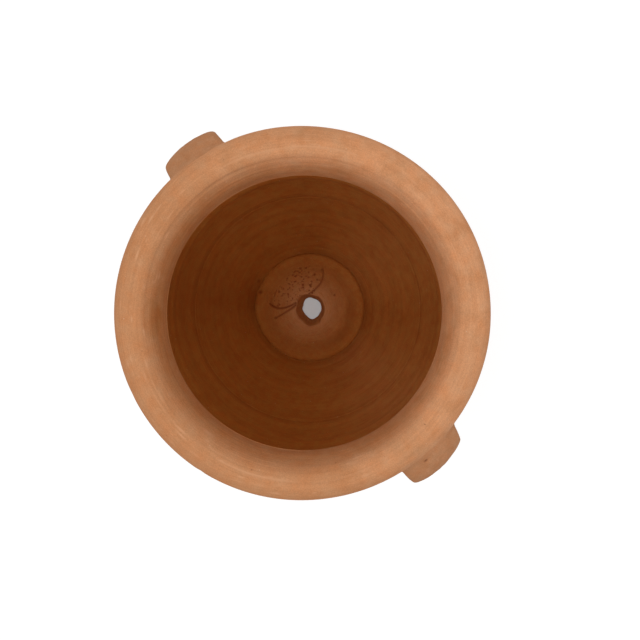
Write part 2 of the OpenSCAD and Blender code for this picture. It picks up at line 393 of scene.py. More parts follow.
def fired_clay(name, seed, patch=14.0, streak=0.5):
    """Matt, open-pored clay: the clay body in the tones of the outside or of the lining, which is
    partly painted shade, with streaks of the wheel, lime grains and pits, and the piece's pale and
    dark marks laid over it, some of them painted shade and painted light.
    Sand, streaks and pits give the height of its skin, for its bump and its dry, rough sheen."""
    material = bpy.data.materials.new(name)
    material.use_nodes = True
    tree = material.node_tree
    tree.nodes.clear()
    inside = own_mask(tree, "inside")
    # Paler side: partly kiln flame, partly painted light.
    flame = use_group(tree, flame_and_light_side_group)["Flame"]
    tones = [blend_colour(tree, inside, out, lining) for out, lining in (
        (outer_clay, shaded_inner_clay), (outer_pale, shaded_inner_pale), (outer_deep, shaded_inner_deep))]
    body = use_group(tree, clay_body_group, {
        "Clay": tones[0], "Pale": tones[1], "Deep": tones[2], "Patch": patch, "Flame": flame,
        "Tint": sum_up(tree, "MULTIPLY_ADD", inside, 1.2, 1.0)})
    fine = use_group(tree, wheel_streaks_group, {
        "Width": 1.3, "Turns": 2.2, "Seed": seed})["Streak"]
    broad = use_group(tree, wheel_streaks_group, {
        "Width": 5.5, "Turns": 1.1, "Seed": seed + 7})["Streak"]
    drawn = sum_up(tree, "MULTIPLY_ADD", broad, 0.45, sum_up(tree, "MULTIPLY", fine, 0.55))
    shade = between(tree, drawn, 0.3, 0.7, 1 - 0.14 * streak, 1 + 0.14 * streak)
    colour = scaled(tree, body["Color"], shade)
    flecks = use_group(tree, grit_group, {
        "Spacing": 4.6, "Size": 0.42, "Share": 0.3, "Seed": seed})["Spots"]
    pits = use_group(tree, grit_group, {
        "Spacing": 8.5, "Size": 0.6, "Share": 0.28, "Seed": seed + 3})["Spots"]
    colour = blend_colour(tree, sum_up(tree, "MULTIPLY", flecks, 0.45), colour, lime)
    colour = blend_colour(tree, sum_up(tree, "MULTIPLY", pits, 0.5), colour, pitted)
    in_streaks = between(tree, fine, 0.3, 0.6, 0.3, 0.8)
    # Pale mask: real wear, and painted light where the lining and floor are lit.
    wear_and_light_share = sum_up(tree, "MULTIPLY", own_mask(tree, "pale"), in_streaks)
    colour = blend_colour(tree, wear_and_light_share, colour, pale_wear_and_light)
    shade_tone = blend_colour(tree, inside, shadowed, inner_shade_and_stain)
    colour = blend_colour(tree, own_mask(tree, "dark"), colour, shade_tone)
    sanded = sum_up(tree, "MULTIPLY", body["Height"], 0.07)
    drawn_up = sum_up(tree, "MULTIPLY_ADD", fine, 0.1, sanded)
    height = sum_up(tree, "MULTIPLY_ADD", pits, -0.3, drawn_up)
    in_metres = sum_up(tree, "MULTIPLY", height, MM)
    bump = put(tree, "Bump", {"Height": in_metres, "Distance": 1.0, "Strength": 1.0})
    dry = between(tree, height, -0.1, 0.2, 0.93, 0.84)
    clay = put(tree, "BsdfPrincipled", {
        "Base Color": colour, "Roughness": dry,
        "Specular IOR Level": 0.2, "Normal": bump.outputs[0]})
    put(tree, "OutputMaterial", {"Surface": clay.outputs[0]})
    return material


def slab_profile():
    """Cross-section of the slab, walked from the hole's lower edge outwards, up and back in."""
    side = outer_radius(foot_bevel)
    seat = outer_radius(rebate_z)
    edge_r = disc_r - shoulder_w
    edge_z = floor_z - shoulder_h
    round_r = hole_top_r + hole_round
    return walk([
        (line((hole_low_r, foot_hollow), (ring_in_r, foot_hollow)), 1.7),
        (line((ring_in_r, foot_hollow), (ring_in_r + foot_hollow, 0)), 1.1),
        (line((ring_in_r + foot_hollow, 0), (foot_r - foot_bevel, 0)), 1.7),
        (line((foot_r - foot_bevel, 0), (side, foot_bevel)), 0.9),
        (outside(foot_bevel, rebate_z), 1.2),
        (line((seat, rebate_z), (disc_r, rebate_z)), 6),
        (line((disc_r, rebate_z), (disc_r, edge_z)), 1.1),
        (arc((edge_r, edge_z), shoulder_w, shoulder_h, 0, 90), 0.5),
        (line((edge_r, floor_z), (round_r, floor_z)), 0.56),
        (arc((round_r, floor_z - hole_round), hole_round, hole_round, 90, 180), 0.3),
        (line((hole_top_r, floor_z - hole_round), (hole_low_r, foot_hollow)), 0.8),
    ])


plateau_r = 37
channel_r = 45.2
channel_w = 4.8
channel_depth = 1.5
plateau_step = 0.4
oval_middle = (-24.6, 1.8)
oval_turn = math.radians(84.5)
oval_long = 35
oval_short = 17
oval_depth = 0.6


def pressed_oval(x, y, rough):
    """Plain oval dimple that was pressed unevenly into the soft floor: a shallow flat, an edge
    line that is deepest at its two ends, and a ground left rough where the clay stuck, most of all
    past its far side. Gives the depth, and how dark the line and the rough ground are."""
    dx = x - oval_middle[0]
    dy = y - oval_middle[1]
    along = (dx * math.cos(oval_turn) + dy * math.sin(oval_turn)) / oval_long
    across = (dy * math.cos(oval_turn) - dx * math.sin(oval_turn)) / oval_short
    out = np.hypot(along, across)
    flat = oval_depth * smooth((1.02 - out) / 0.16)
    ends = smooth((np.abs(along) - 0.35) / 0.5)
    edge = groove((out - 0.93) * oval_short, 0.8, 1) * ends
    far = smooth((across - 0.4) / 0.4) * groove(along - 0.35, 0.5, 1)
    ground = smooth((rough - 0.5 + 0.6 * far) / 1.3) * smooth((0.94 + 0.3 * far - out) / 0.14)
    return flat + 0.3 * edge + 0.6 * ground, 0.3 * edge + 0.75 * ground


def floor_relief(x, y, radius, fine, broad):
    """Depth of the floor below its highest level, and how dark it is: a soft channel round the
    plateau, the oval, a few tool strokes, pits, and what fingers left uneven. The channel and the
    floor away from its middle are darkened by painted shade, more on some sides."""
    depth = groove(radius - channel_r, channel_w, channel_depth)
    depth = depth + plateau_step * smooth((radius - plateau_r) / 8)
    pressed, dark = pressed_oval(x, y, fine)
    depth = depth + pressed
    way = np.arctan2(y, x)
    # Painted shade in the channel and on the floor away from its middle, stronger on some sides.
    channel_shade = 0.14 * (1 + bump_at(way, 20, 0.8) - 0.6 * bump_at(way, 190, 0.7))
    channel_shade = groove(radius - channel_r - 1, 4.5, 1) * channel_shade
    outer_floor_shade = 0.16 * smooth((radius - 18) / 12) * (1 - 0.3 * bump_at(way, 190, 0.7))
    dark = np.maximum(dark, outer_floor_shade + channel_shade)
    for start, bend, end, width, deep in (
            ((-30.3, -31.6), (-16.2, -29.6), (-13.6, -9.1), 1.15, 1.0),
            ((-14.4, -36.2), (-11.7, -22.2), (-11.8, -10.5), 1.1, 0.85),
            ((-39.4, -24.2), (-38.0, -32.4), (-29.8, -32.1), 0.9, 0.35),
            ((-23.9, 37.0), (-10.2, 29.5), (-12.2, 9.3), 1.0, 0.9)):
        stroke = groove(stroke_distance(x, y, start, bend, end), width, deep)
        depth = depth + stroke
        dark = np.maximum(dark, 0.95 * stroke)
    for pit_x, pit_y, width, deep in (
            (-46.6, -31.8, 2.5, 1.3), (-14.4, -36.2, 2.0, 1.1), (16.3, -5.5, 1.6, 0.7),
            (6.0, 29.3, 1.2, 1.2), (-23.8, 35.7, 1.6, 1.1)):
        pit = groove(np.hypot(x - pit_x, y - pit_y), width, deep)
        depth = depth + pit
        dark = np.maximum(dark, 0.7 * pit)
    hand = 0.1 * broad + 0.03 * fine
    return depth + hand - hand.min(), dark


wire_middle = (105, -60)
wire_pitch = 2.9
wire_depth = 0.11


def make_base_slab():
    """Slab: its profile carried round the wheel, with rings near the drain hole pushed out and in
    by a few waves about the hole's own middle, and the floor's relief taken off the top. The
    cutting wire left wide arcs underneath, a sine of the distance from a far point."""
    r, z, stretch, inward = slab_profile()
    underside = stretch <= 2
    lining = stretch >= 6
    bore = stretch == 10
    angle = round_the_wheel(512)
    shape = (len(r), len(angle))
    near = smooth((hole_blends_out_r - r) / (hole_blends_out_r - hole_top_r))
    rise = np.clip((z - foot_hollow) / (floor_z - foot_hollow), 0, 1)
    middle_x = near * (hole_low_middle[0] + (hole_top_middle[0] - hole_low_middle[0]) * rise)
    middle_y = near * (hole_low_middle[1] + (hole_top_middle[1] - hole_low_middle[1]) * rise)
    lobes = sum(size * np.cos(n * (angle - math.radians(middle))) for n, middle, size in hole_lobes)
    knife = 0.02 * uneven(shape, 6, 30, 11)
    ragged = 0.06 * bump_at(angle, -5, 0.13) + 0.05 * bump_at(angle, 181, 0.25)
    radius = r * (1 + near * (lobes + knife + ragged * rise ** 2)) + toe_drift(angle, r) * lining
    x = middle_x + radius * np.cos(angle)
    y = middle_y + radius * np.sin(angle)
    from_axis = np.hypot(x, y)
    fine = uneven(shape, 2.6, 4.5, 12)
    broad = uneven(shape, 16, 60, 13)
    relief, dark = floor_relief(x, y, from_axis, fine, broad)
    top = smooth((z - (floor_z - shoulder_h)) / 1.5) * lining
    from_wire = np.hypot(x - wire_middle[0], y - wire_middle[1])
    wire = np.sin(TAU * from_wire / wire_pitch + 0.9 * broad)
    cut = wire_depth * (1 + wire) + 0.05 * (fine - fine.min())
    height = z - relief * top + cut * underside * smooth(inward / 2.5)
    grid = np.stack(np.broadcast_arrays(x, y, height), -1)
    # Painted shade in the groove where the floor's edge meets the wall, weaker on one side.
    edge = 0.3 * smooth((r - disc_r + 1.8) / 1.5) * lining * (stretch <= 8)
    edge = edge * (1 - 0.8 * bump_at(angle, 184, 0.5))
    # Painted shade down the drain hole's wall, darker towards its bottom.
    bore_shade = bore * (0.04 + 0.3 * smooth((7 - z) / 5))
    # The floor's middle is painted light: less of the lining's tone and a share of pale tone, where
    # it sees most of the sky through the mouth.
    middle = groove(from_axis, 30, 1)
    masks = {"inside": lining * (1 - np.where(bore, 0.3, 0.42) * middle),
             "dark": np.maximum(dark * top, np.maximum(edge, bore_shade)),
             "pale": 0.5 * top * middle}
    clay = fired_clay("floor_clay", 3.0, patch=9.0, streak=0.35)
    put_skin("thrown_floor", grid, "base_slab", clay, masks)


make_base_slab()


# Lower wall: the section thrown on the slab. The fingers left soft rings inside it, and the
# outside was turned smooth. Its top edge has a tongue for the section above.

wall_t = 14
toe_t = 16
groove_z = 12.5
toe_rise = 8
seam_groove = 0.3
tongue_w = 6
tongue_h = 6
tongue_draft = 1
ring_pitch = 15
ring_depth = 0.3
wall_ridges = (
    (112.5, 1.0, 6.0, 0.85, 200),
    (148.5, 1.2, 5.0, 0.8, 150),
    (178, 1.5, 6.0, 0.4, 40),
)
thrown_lobes = ((2, 71.7, 1.2), (3, 56.5, 0.18))
# Sides of the lining painted darker and paler, as painted shade and painted light: middle, half width
# and height.
shade_sides = ((46, 0.32, 0.19), (141.5, 0.22, 0.1), (224, 0.38, 0.24))
light_sides = ((90, 0.5, 0.08), (6, 0.45, 0.16))


def wall_thickness(z):
    """Thickness of the wall at height z, falling evenly from the toe to the belly."""
    return wall_t + (toe_t - wall_t) * np.clip((belly_z - z) / (belly_z - floor_z), 0, 1)


def inner_radius(z):
    """Inside of the wall at height z, without its rings; it turns in to the floor at the toe."""
    open_r = np.maximum(disc_r, outer_radius(z) - wall_thickness(z))
    return disc_r + (open_r - disc_r) * np.sqrt(np.clip((z - groove_z) / toe_rise, 0, 1))


def lining_curve(high, low):
    """Stretch of the inside between two heights, walked downwards, closer set at the toe."""
    z = low + (high - low) * np.linspace(1, 0, 400) ** 1.5
    return np.stack([inner_radius(z), z], 1)


def tongue(z):
    """Tapered tongue that stands on an edge at height z, from its outer to its inner side."""
    middle = outer_radius(z) - wall_thickness(z) / 2
    half = tongue_w / 2
    top = half - tongue_draft
    return np.array([(middle + half, z), (middle + top, z + tongue_h),
                     (middle - top, z + tongue_h), (middle - half, z)])


def joint_face(z, start_r, end_r, back=False, level_steps=(2.5, 2.5)):
    """The five stretches of a joint at height z, walked inwards, or back outwards: level up to
    the tongue, over its three sides, and level on. level_steps are the steps of the level ones."""
    corners = [(start_r, z), *(tongue(z)[::-1] if back else tongue(z)), (end_r, z)]
    steps = (level_steps[0], 3, 3, 3, level_steps[1])
    return [(line(*corners[i:i + 2]), step) for i, step in enumerate(steps)]


def finger_rings(angle, z):
    """Depth of the throwing rings: one soft groove that climbs a pitch at each turn, faint in the
    upper half and fading out at the toe, at the seam and at the neck."""
    wave = np.sin(np.pi * (z - floor_z) / ring_pitch + 0.5 * angle) ** 2
    upward = 1 - 0.7 * smooth((z - 70) / 25)
    from_toe = np.clip((z - floor_z) / ring_pitch, 0, 1)
    from_seam = np.clip(np.abs(z - seam_z) / ring_pitch, 0, 1)
    from_neck = np.clip((neck_z - z) / ring_pitch, 0, 1)
    return ring_depth * wave * upward * from_toe * from_seam * from_neck


def soft_ridges(angle, z):
    """Low ridges that the thrower's fingers left inside: Gaussians up the wall, each with its
    height, drift, half width, height of relief, and the angle where it is highest and strongest."""
    total = 0
    for height, drift, half_width, inward, strongest in wall_ridges:
        swing = np.cos(angle - math.radians(strongest))
        ridge = groove(z - height - drift * swing, half_width, inward)
        total = total + (1 + 0.3 * swing) * ridge
    return total


def out_of_round(angle, z):
    """How far the thrown pot falls short of round: raised cosines of two lobes and faintly of
    three, from each one's number of lobes, direction and depth, that grow with the square of the
    height. It is never outwards, so the pot keeps within its stated size."""
    short = sum(depth * (1 - np.cos(n * (angle - math.radians(middle)))) / 2
                for n, middle, depth in thrown_lobes)
    return -(z / pot_h) ** 2 * short


def settle(grid):
    """Points of the ideal pot moved along the radius to where the thrown one has them."""
    x, y, z = np.moveaxis(grid, -1, 0)
    radius = np.maximum(np.hypot(x, y), 1)
    scale = 1 + out_of_round(np.arctan2(y, x), z) / radius
    return np.stack([x * scale, y * scale, z], -1)


def turned(r, z, angle):
    """Grid of points at radius r and height z all round the axis."""
    return np.stack(np.broadcast_arrays(r * np.cos(angle), r * np.sin(angle), z), -1)


def wall_marks(shape, angle, z, inside, free, seed):
    """Movement of the wall's skin along the radius: throwing rings and soft hollows inside,
    turning lines and a few broad flats outside, none of it at the joint faces."""
    broad = uneven(shape, 14, 30, seed)
    drag = uneven(shape, 3.2, 50, seed + 1)
    lines = uneven(shape, 1.1, 90, seed + 2)
    rings = finger_rings(angle, z) * np.clip(0.9 + 0.45 * uneven(shape, 22, 90, seed + 3), 0, 2)
    hollow = rings + 0.14 * broad + 0.05 * drag
    turned_off = -0.1 * (broad + 2.6) - 0.045 * drag - 0.04 * lines
    seam = groove(z - seam_z, 2.5, 0.25)
    skin = free * np.where(inside, hollow, turned_off)
    return skin + inside * (seam - soft_ridges(angle, z))


def side_light_and_shade(angle, z):
    """Painted light and painted shade on the inside by direction: darker on some sides and paler on
    others, both sums of Gaussians round the wheel; the paler share also grows towards the neck."""
    side_light = bumps_at(angle, light_sides) + 0.05 * smooth((z - 185) / 20)
    return bumps_at(angle, shade_sides), side_light


def wall_masks(shape, angle, z, inside, seed):
    """Where a wall is dark: inside by painted shade that changes round the wheel, in the seam, where
    slip stayed, with painted shade down at the toe in its corner with the floor, in one pit there,
    and outside in a few smoked clouds. It is pale inside by painted light that changes round the
    wheel and grows towards the neck, and outside where a shelf or a hand rubbed it."""
    clouds = smooth((uneven(shape, 30, 60, seed) - 1.1) / 1.2)
    rubbed = smooth((uneven(shape, 2, 26, seed + 1) - 1.7) / 0.8)
    seam = 0.07 * groove(z - seam_z, 4, 1)
    # Painted shade in the corner at the toe, weaker on one side.
    toe = 0.3 * groove(z - groove_z - 2.5, 6, 1) * (1 - 0.5 * bump_at(angle, 184, 0.5))
    upward = 0.12 * groove(z - 112, 36, 1) * (1 - 0.9 * bump_at(angle, 6, 0.5))
    pit = 0.5 * bump_at(angle, -156, 0.03) * groove(z - 16.8, 1.6, 1)
    side_shade, side_light = side_light_and_shade(angle, z)
    return {"inside": inside * 1.0,
            "dark": inside * (seam + toe + upward + pit + side_shade) + (1 - inside) * 0.14 * clouds,
            "pale": inside * side_light + (1 - inside) * 0.6 * rubbed}


def throw_wall(name, node, profile, lining, seed, clay_seed):
    """Wall section: its profile carried round the wheel and settled, with the marks of making on
    the outside, which is stretch 0, and on the stretch of the lining."""
    r, z, stretch, inward = walk(profile)
    angle = round_the_wheel(480)
    shape = (len(r), len(angle))
    inside = (stretch >= 6) & (stretch <= 8)
    free = smooth(inward / 4) * ((stretch == 0) | (stretch == lining))
    marks = wall_marks(shape, angle, z, inside, free, seed)
    marks = marks + toe_drift(angle, r) * inside * smooth((30 - z) / 12)
    grid = settle(turned(r + marks, z, angle))
    masks = wall_masks(shape, angle, z, inside, seed + 5)
    put_skin(name, grid, node, fired_clay(node + "_clay", clay_seed), masks)


seam_out_r = outer_radius(seam_z)
seam_in_r = inner_radius(seam_z) + seam_groove
throw_wall("thrown_lower_wall", "lower_wall", [
    (outside(rebate_z, seam_z), 1.25),
    *joint_face(seam_z, seam_out_r, seam_in_r),
    (line((seam_in_r, seam_z),
          (inner_radius(seam_z - seam_groove), seam_z - seam_groove)), 0.6),
    (lining_curve(seam_z - seam_groove, groove_z), 1.15),
    (line((disc_r, groove_z), (disc_r, rebate_z)), 2.5),
    (line((disc_r, rebate_z), (outer_radius(rebate_z), rebate_z)), 5),
], lining=7, seed=21, clay_seed=5.0)


# Upper wall: a second section, thrown apart and set on the lower one with slip. The seam was
# smoothed over outside and left as a faint groove inside. A tongue on top takes the rim.

throw_wall("thrown_upper_wall", "upper_wall", [
    (outside(seam_z, neck_z), 1.35),
    *joint_face(neck_z, neck_r, inner_radius(neck_z)),
    (lining_curve(neck_z, seam_z + seam_groove), 1.15),
    (line((inner_radius(seam_z + seam_groove), seam_z + seam_groove),
          (seam_in_r, seam_z)), 0.6),
    *joint_face(seam_z, seam_in_r, seam_out_r, back=True),
], lining=6, seed=31, clay_seed=9.0)


# Rolled rim: a heavy coil of clay thrown round the mouth and folded over, with a long inner
# slope down to a crisp lip. It is the most handled part, smooth on top and streaked inside.

rim_r = face_of("rolled_rim", 1, 1)
mouth_r = 107
roll_w = 18
wide_z = 234
ledge = 3
lip_r = 2
crest_r = rim_r - roll_w
slope_power = 2.2
lip_z = neck_z + lip_r
lip_shift = 0.85
lip_shift_angle = math.radians(55.5)
lip_oval = -0.32
lip_oval_angle = math.radians(52.5)
burnish_r = crest_r - 7.2
burnish_sides = ((160, 0.8, 1.0), (-38, 0.5, 0.2))
worn_sides = ((141, 0.5, 1.0), (-42, 0.5, 1.0), (-70, 0.4, 0.7))
scuffs = (
    (59.5, 112.8, 16, 1.0, 0.6),
    (154.5, 136.3, 2.2, 1.1, 0.8),
    (153.5, 127, 3.5, 1.2, 0.6),
    (199.5, 119, 5, 1.6, 0.6),
    (216.5, 110.5, 3.5, 2.2, 0.7),
    (287.5, 117, 9, 1.1, 0.6),
    (317.5, 125.5, 8, 1.2, 0.8),
    (338.5, 113.6, 6, 1.6, 0.7),
)
smudge_angle = -127.2
smudge_r = 111.7


def rim_profile():
    """Cross-section of the rim: from the ledge out and up round the roll, down the inner slope
    to the lip, and back under it and over the wall's tongue."""
    ledge_r = neck_r + ledge
    return walk([
        (arc((ledge_r, wide_z), rim_r - ledge_r, wide_z - neck_z, -90, 0), 0.95),
        (arc((crest_r, wide_z), roll_w, pot_h - wide_z, 0, 90), 0.85),
        (arc((crest_r, lip_z), crest_r - mouth_r, pot_h - lip_z, 90, 180, slope_power), 0.8),
        (arc((mouth_r + lip_r, lip_z), lip_r, lip_r, 180, 270), 0.5),
        *joint_face(neck_z, mouth_r + lip_r, ledge_r, back=True, level_steps=(1.6, 2)),
    ])


def spot(angle, r, at_angle, at_r, half_long, half_wide):
    """1 at one place on the rim, falling off as a Gaussian that is drawn out along the wheel."""
    sideways = np.angle(np.exp(1j * (angle - at_angle))) * at_r / half_long
    return np.exp(-sideways ** 2 - ((r - at_r) / half_wide) ** 2)


def scatter(angle, r, seed, count, low_r, high_r, long, wide):
    """Sum of many small marks: each a Gaussian spot, drawn out along the wheel, at a random place
    between two radii. long and wide give the range of its half sizes in millimetres."""
    draw = np.random.default_rng(seed)
    total = 0
    for _ in range(count):
        at_angle, at_r = draw.uniform(-np.pi, np.pi), draw.uniform(low_r, high_r)
        half_long, half_wide = draw.uniform(*long), draw.uniform(*wide)
        total = total + draw.uniform(0.4, 1) * spot(angle, r, at_angle, at_r, half_long, half_wide)
    return total


def rim_marks(shape, angle, r, inner):
    """Movement of the rim's skin outwards, never past its stated size: slow swells, streaks of
    the wheel, the line that the burnishing tool left on the inner slope, and knocks of use."""
    skin = 0.12 * uneven(shape, 12, 44, 41)
    skin = skin + 0.035 * uneven(shape, 1.5, 60, 42) + 0.03 * uneven(shape, 1.0, 130, 43)
    skin = skin - inner * bumps_at(angle, burnish_sides) * groove(r - burnish_r, 0.7, 0.25)
    knocks = scatter(angle, r, 44, 26, crest_r - 10, rim_r, (1.2, 6), (1.2, 3))
    return np.minimum(skin - 0.35 * knocks - 0.12, 0.0)


def rim_masks(shape, angle, r, z, stretch):
    """Where the rim is worn pale: along the crest's top line, in broken stretches, in short strokes
    beside it, and in a few scuffs that noise breaks up; where the crest is not worn, a soft dark line
    runs along it. It turns to the lining's tone towards the lip, as painted shade down the inner
    slope that is stronger on some sides, with a line of painted shade at the lip itself, and in one
    thumb's smudge, an even oval with soft edges. Below the roll outside it is darkened by painted
    shade."""
    inner = (stretch >= 2) * 1.0
    broken = smooth((uneven(shape, 2, 22, 45) + 0.6) / 1.6)
    reach = np.clip(0.25 + bumps_at(angle, worn_sides), 0, 1)
    crest = broken * reach * groove(r - crest_r + 0.4, 1.3, 0.7) * (z > wide_z)
    strokes = scatter(angle, r, 46, 90, crest_r - 11, crest_r + 14, (1.2, 4.5), (0.35, 0.9))
    # Painted shade down the inner slope towards the lip, in the lining's tone, stronger on some
    # sides.
    side = 1 + 0.45 * bump_at(angle, -142, 0.9) - 0.5 * bump_at(angle, 78, 0.8)
    lining = 0.29 * side * smooth((crest_r - 8.5 - r) / 5.5) * inner
    aside = np.angle(np.exp(1j * (angle - math.radians(smudge_angle)))) * smudge_r / 14.8
    smudge = smooth((1.15 - np.hypot(aside, (r - smudge_r) / 3.9)) / 0.3) * inner
    smudge = smudge * (1 + 0.2 * uneven(shape, 3, 8, 47))
    # Painted shade line at the lip.
    lip = 0.16 * smooth((lip_z + 1.5 - z) / 2.5) * inner
    burnished = bumps_at(angle, burnish_sides) * groove(r - burnish_r, 0.6, 0.16)
    scuffed = sum(share * spot(angle, r, math.radians(middle), at_r, half_long, half_wide)
                  for middle, at_r, half_long, half_wide, share in scuffs)
    scuffed = scuffed * smooth((uneven(shape, 1.6, 7, 48) + 0.4) / 1.2)
    # Painted shade under the roll, outside.
    under = 0.12 * smooth((wide_z - z) / 12) * (1 - inner)
    # Darker along the crest where it is not worn, and faintly on one side.
    unworn = bump_at(angle, 62, 1.0) * groove(r - crest_r, 2.6, 1) * (z > wide_z)
    crest_darkening = 0.03 * bump_at(angle, 0, 0.5) + 0.07 * unworn
    return {"inside": lining + lip + 0.24 * smudge,
            "dark": 0.07 * smudge + burnished * inner + under + crest_darkening,
            "pale": (1.2 * crest + 1.15 * strokes + 1.2 * scuffed) * (z > wide_z - 6)}


def make_rolled_rim():
    """Rim: its profile carried round the wheel and its skin moved along the profile's normal, but
    not at the joint with the wall; the inner slope stands a little off the axis and a little
    oval, as the lip was cut."""
    r, z, stretch, inward = rim_profile()
    angle = round_the_wheel(640)
    step_r = np.roll(r, -1, axis=0) - np.roll(r, 1, axis=0)
    step_z = np.roll(z, -1, axis=0) - np.roll(z, 1, axis=0)
    length = np.hypot(step_r, step_z)
    # The skin is let go over 3 mm above the neck, and over the first third of a millimetre
    # from the ends of the under side and of the lip.
    from_ends = np.where((stretch == 0) | (stretch == 3), 9 * inward, 9)
    above_neck = np.where(stretch == 0, z - neck_z, 9)
    free = (stretch <= 3) * smooth(np.minimum(from_ends, above_neck) / 3)
    shape = (len(r), len(angle))
    moved = free * rim_marks(shape, angle, r, stretch >= 2)
    new_r = r + moved * step_z / length
    new_z = z - moved * step_r / length
    slope = smooth((crest_r - r) / (crest_r - mouth_r)) * (stretch >= 2) * (stretch <= 4)
    slope = slope * smooth((tongue(neck_z)[3][0] - r) / 6)
    oval = lip_oval * slope * np.cos(2 * (angle - lip_oval_angle))
    grid = settle(turned(new_r + oval, new_z, angle))
    grid[..., 0] += lip_shift * slope * math.cos(lip_shift_angle)
    grid[..., 1] += lip_shift * slope * math.sin(lip_shift_angle)
    masks = rim_masks(shape, angle, r, z, stretch)
    clay = fired_clay("rim_clay", 13.0, patch=17.0, streak=0.55)
    put_skin("rolled_rim_clay", grid, "rolled_rim", clay, masks)


make_rolled_rim()


# Strap handles: two straps pulled from a lump of clay, bent over and luted on with slip, one end
# under the roll of the rim and the other on the belly, each smoothed in with a finger.

strap_t = 13
strap_crown = 4
strap_reach = 24
strap_top_z = pot_h - 22
strap_out_z = pot_h - 46
strap_low_z = strap_top_z - 80
low_flare = 7
root_swell = 5
# How much darker the strap is painted: partly painted shade below the rim, partly a darker clay.
strap_shade = 0.24
nick_depth = 1.1
edge_t = strap_t - strap_crown
strap_top_r = rim_r - 12
strap_low_r = outer_radius(strap_low_z) - 6
strap_out_r = rim_r + strap_reach - edge_t / 2 - strap_crown
sunk = 0.5


def pot_radius(z):
    """Outside of the whole pot at height z: the wall, and above the neck the rim's two arcs."""
    ledge_r = neck_r + ledge
    down = (wide_z - z) / (wide_z - neck_z)
    up = (z - wide_z) / (pot_h - wide_z)
    under = ledge_r + (rim_r - ledge_r) * np.sqrt(np.clip(1 - down ** 2, 0, 1))
    over = crest_r + roll_w * np.sqrt(np.clip(1 - up ** 2, 0, 1))
    return np.where(z < neck_z, outer_radius(z), np.where(z < wide_z, under, over))


def strap_point(t, turn, half_width, powers, top_flares, short, lean):
    """Point of the strap. t runs from -1 at the upper root, through 0 at its outermost line, to 1
    at the lower root, on two quarter ellipses. turn is the angle of a ray from the middle of its
    section, a squared oval where the powers of both coordinates add up to 1, with a crowned outer
    face. The rest differs by handle: its half width, the powers of the oval's two halves, how far
    each half widens at the upper root, how far it stops short of the full reach, and how much
    more so at one edge."""
    power = np.where(np.cos(turn) < 0, *powers)
    top_flare = np.where(np.cos(turn) < 0, *top_flares)
    ray = (np.abs(np.cos(turn)) ** power + np.abs(np.sin(turn)) ** power) ** (1 / power)
    side = np.cos(turn) / ray
    face = np.sin(turn) / ray
    out_r = strap_out_r - short - lean * side
    up = t < 0
    quarter = 0.5 * np.pi * np.abs(t)
    root_r = np.where(up, strap_top_r, strap_low_r)
    rise = np.where(up, strap_top_z - strap_out_z, strap_out_z - strap_low_z)
    path_r = root_r + (out_r - root_r) * np.cos(quarter)
    path_z = strap_out_z + np.where(up, 1, -1) * rise * np.sin(quarter)
    way_r = -(out_r - root_r) * np.sin(quarter) * np.where(up, -1, 1)
    way_z = -rise * np.cos(quarter)
    length = np.hypot(way_r, way_z)
    near_top = np.maximum(0, -t)
    near_low = np.maximum(0, t)
    half_w = half_width + top_flare * near_top ** 2 + low_flare * near_low ** 3
    half_t = edge_t / 2 + root_swell / 2 * (near_top ** 3 + near_low ** 3)
    off = half_t * face + strap_crown * (1 - side ** 2) * (1 + face) / 2
    point = [path_r - way_z / length * off, half_w * side, path_z + way_r / length * off]
    return np.stack(np.broadcast_arrays(*point), -1)


def gap_to_pot(points):
    """How far points stand out from the pot's skin, along the radius; below 0 inside the clay."""
    return np.hypot(points[..., 0], points[..., 1]) - pot_radius(points[..., 2])


